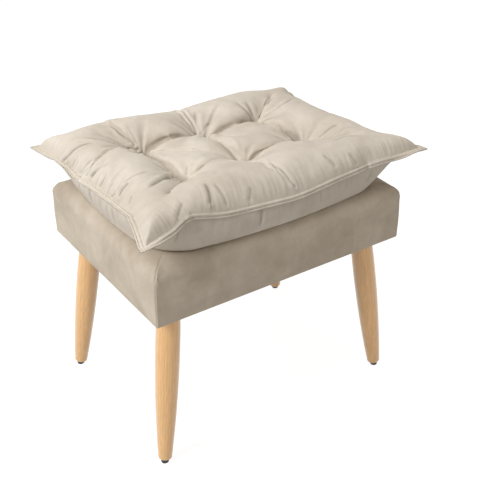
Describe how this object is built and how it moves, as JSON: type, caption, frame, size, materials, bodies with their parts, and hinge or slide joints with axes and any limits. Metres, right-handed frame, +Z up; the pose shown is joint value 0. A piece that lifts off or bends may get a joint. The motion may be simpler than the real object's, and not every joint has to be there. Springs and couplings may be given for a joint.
{
  "type": "upholstered footstool",
  "caption": "Upholstered box footstool on splayed round tapered wooden legs, with a tufted flanged pillow lying on top.",
  "frame": {"origin": "on the floor under the middle of the footstool", "axes": "+X along the long side of the box to the right, +Y away from the front long side, +Z up"},
  "size_m": [0.568, 0.402, 0.4943],
  "materials": {
    "leg_wood": "clear satin lacquer",
    "glide_plastic": "moulded, slightly worn",
    "zinc_steel": "zinc plated",
    "frame_pine": "sawn and planed, unfinished",
    "plywood": "unfinished",
    "foam": "open-cell polyurethane foam",
    "base_suede": "suede-like velvet with a mottled nap",
    "black_nonwoven": "spunbond dust cloth",
    "fibre_fill": "loose polyester fibre",
    "pillow_suede": "suede-like velvet, a little paler than the base",
    "tuft_twine": "waxed twine"
  },
  "bodies": {
    "root": {"leg_front_left": "leg_wood", "leg_front_right": "leg_wood", "leg_back_left": "leg_wood", "leg_back_right": "leg_wood", "glide_front_left": "glide_plastic", "glide_front_right": "glide_plastic", "glide_back_left": "glide_plastic", "glide_back_right": "glide_plastic", "glide_nails": "zinc_steel", "leg_plate_front_left": "zinc_steel", "leg_plate_front_right": "zinc_steel", "leg_plate_back_left": "zinc_steel", "leg_plate_back_right": "zinc_steel", "hanger_bolt_front_left": "zinc_steel", "hanger_bolt_front_right": "zinc_steel", "hanger_bolt_back_left": "zinc_steel", "hanger_bolt_back_right": "zinc_steel", "plate_screws": "zinc_steel", "rail_front": "frame_pine", "rail_back": "frame_pine", "rail_left": "frame_pine", "rail_right": "frame_pine", "leg_board_left": "frame_pine", "leg_board_right": "frame_pine", "corner_block_front_left": "frame_pine", "corner_block_front_right": "frame_pine", "corner_block_back_left": "frame_pine", "corner_block_back_right": "frame_pine", "deck_panel": "plywood", "rail_nails": "zinc_steel", "deck_nails": "zinc_steel", "deck_foam": "foam", "side_pad_front": "foam", "side_pad_back": "foam", "side_pad_left": "foam", "side_pad_right": "foam", "base_cover": "base_suede", "dust_cloth": "black_nonwoven", "dust_cloth_staples": "zinc_steel", "pillow_fill": "fibre_fill", "pillow_top_panel": "pillow_suede", "pillow_bottom_panel": "pillow_suede", "tuft_ties": "tuft_twine"}
  },
  "joints": []
}
